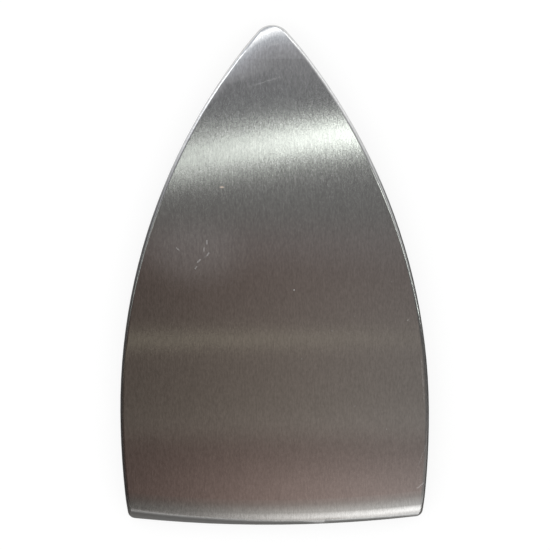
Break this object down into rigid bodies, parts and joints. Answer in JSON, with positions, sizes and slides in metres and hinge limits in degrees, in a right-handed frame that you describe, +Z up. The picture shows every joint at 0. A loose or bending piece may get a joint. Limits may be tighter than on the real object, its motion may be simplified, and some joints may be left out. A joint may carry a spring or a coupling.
{
  "type": "iron soleplate",
  "caption": "Aluminium soleplate of a plain dry iron: pointed, brushed working face with a rolled heel, over a cast back with an element channel and tapped bosses.",
  "frame": {"origin": "centre of the plate's length and width, on the plane its back rim lies on", "axes": "+X to the right and +Y towards the tip, seen from above; +Z up out of the working face"},
  "size_m": [0.123, 0.2, 0.013],
  "materials": {
    "soleplate": "brushed lengthwise on the working face, as cast on the back"
  },
  "bodies": {
    "root": {"soleplate": "soleplate"}
  },
  "joints": []
}
